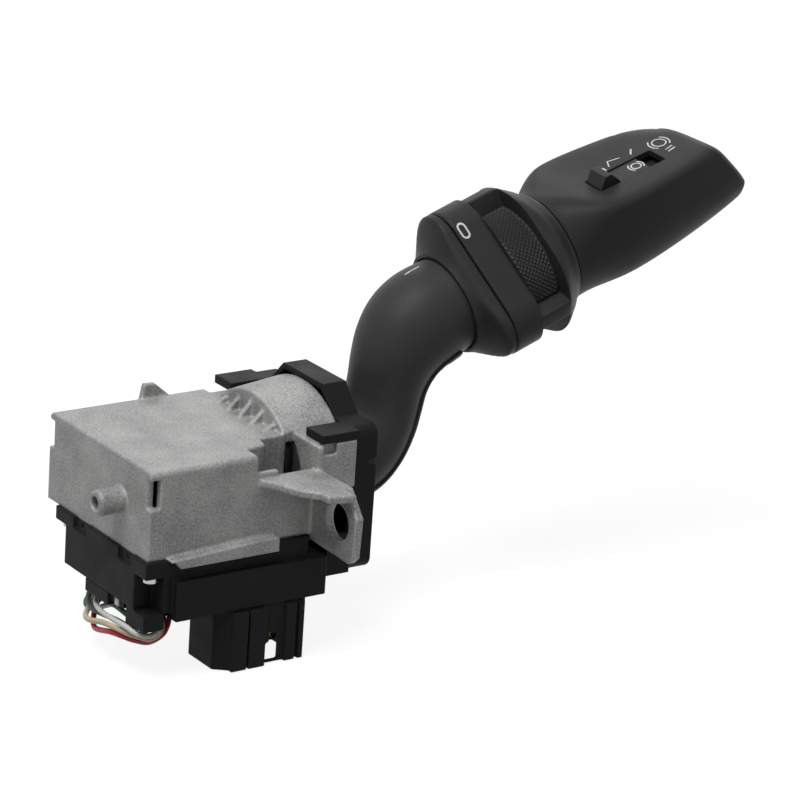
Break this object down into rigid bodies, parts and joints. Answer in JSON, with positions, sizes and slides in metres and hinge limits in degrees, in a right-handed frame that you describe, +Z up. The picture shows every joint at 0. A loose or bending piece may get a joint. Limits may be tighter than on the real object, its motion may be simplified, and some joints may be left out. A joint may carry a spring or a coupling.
{
  "type": "combination stalk switch",
  "caption": "Steering-column stalk switch: die-cast housing with plug socket, cranked stalk on a two-axis pivot, turning selector ring and knob with slide switch and push button.",
  "frame": {"origin": "axis of the locating peg where it leaves the housing's end face", "axes": "+X along the housing towards the stalk and knob, +Y from the fixing lug towards the back, +Z up, out of the housing's top face"},
  "size_m": [0.2511, 0.0893, 0.146],
  "materials": {
    "die_cast": "tumbled die casting, satin grain",
    "machined_zinc": "as cast, machined bores",
    "black_moulding": "glass-filled moulding, fine spark-eroded grain",
    "stalk_black": "soft satin moulding, fine grain",
    "ring_black": "satin moulding",
    "pad_rubber": "diamond-knurled grip",
    "gland_rubber": "plain moulded",
    "board_green": "solder mask on glass epoxy",
    "chip_black": "moulded epoxy",
    "contact_tin": "tin over brass",
    "zinc_screw": "bright zinc plate",
    "ground_steel": "ground pin",
    "brass_plunger": "turned",
    "spring_steel": "drawn wire",
    "magnet_nickel": "nickel-plated magnet",
    "cream_moulding": "low-friction acetal",
    "white_moulding": "plain moulded",
    "lead_green": "extruded lead jacket",
    "lead_black": "extruded lead jacket",
    "lead_white": "extruded lead jacket",
    "lead_beige": "extruded lead jacket",
    "lead_red": "extruded lead jacket"
  },
  "bodies": {
    "base": {"housing": "die_cast", "bezel": "black_moulding", "lower_cover": "black_moulding", "plug_socket": "black_moulding", "contact_pins": "contact_tin", "circuit_board": "board_green", "board_chips": "chip_black", "hall_sensors": "chip_black", "cover_screws": "zinc_screw", "bezel_screws": "zinc_screw", "board_screws": "zinc_screw", "lead_clip": "black_moulding", "plug_block": "black_moulding", "key_post": "white_moulding", "lead_glands": "gland_rubber", "lead_green": "lead_green", "lead_black": "lead_black", "lead_white": "lead_white", "lead_beige": "lead_beige", "lead_red": "lead_red", "pivot_carrier": "machined_zinc", "detent_cup": "cream_moulding"},
    "gimbal": {"gimbal_frame": "machined_zinc", "yaw_pins": "ground_steel", "pitch_pins": "ground_steel"},
    "stalk": {"stalk_core": "stalk_black", "dust_cap": "stalk_black", "plunger_spring": "spring_steel", "tail_magnet": "magnet_nickel", "stalk_tube": "stalk_black", "underside_cover": "stalk_black", "collar": "ring_black", "ring_sleeve": "machined_zinc", "ring_board": "board_green", "knob_frame": "black_moulding", "knob_shell": "stalk_black", "knob_cover": "stalk_black", "knob_screws": "zinc_screw", "slider_board": "board_green", "button_spring": "spring_steel", "button_switch": "chip_black"},
    "plunger": {"detent_plunger": "brass_plunger"},
    "ring": {"selector_ring": "ring_black", "grip_pads": "pad_rubber", "ring_magnet": "magnet_nickel"},
    "slide_switch": {"slider": "ring_black"},
    "button": {"push_button": "ring_black"}
  },
  "joints": [
    {"name": "stalk_fore_aft", "type": "hinge", "parent": "base", "child": "gimbal", "pos_m": [0.066, 0.0155, -0.006], "axis": [0, 0, 1], "range_deg": [-7, 7], "stiffness_Nm_per_rad": 16},
    {"name": "stalk_up_down", "type": "hinge", "parent": "gimbal", "child": "stalk", "pos_m": [0.066, 0.0155, -0.006], "axis": [0, 1, 0], "range_deg": [-6, 6], "stiffness_Nm_per_rad": 16},
    {"name": "ring_turn", "type": "hinge", "parent": "stalk", "child": "ring", "pos_m": [0.1323, 0.0155, 0.0431], "axis": [0.9397, 0, 0.342], "range_deg": [-30, 30]},
    {"name": "plunger_slide", "type": "slide", "parent": "stalk", "child": "plunger", "axis": [1, 0, 0], "range_m": [0, 0.0012], "stiffness_N_per_m": 1500, "deforming": ["plunger_spring"]},
    {"name": "slider_travel", "type": "slide", "parent": "stalk", "child": "slide_switch", "axis": [0.9499, 0.0031, 0.3125], "range_m": [0, 0.006]},
    {"name": "button_press", "type": "slide", "parent": "stalk", "child": "button", "axis": [0.034, -0.9951, -0.0933], "range_m": [0, 0.0018], "stiffness_N_per_m": 800, "deforming": ["button_spring"]}
  ]
}
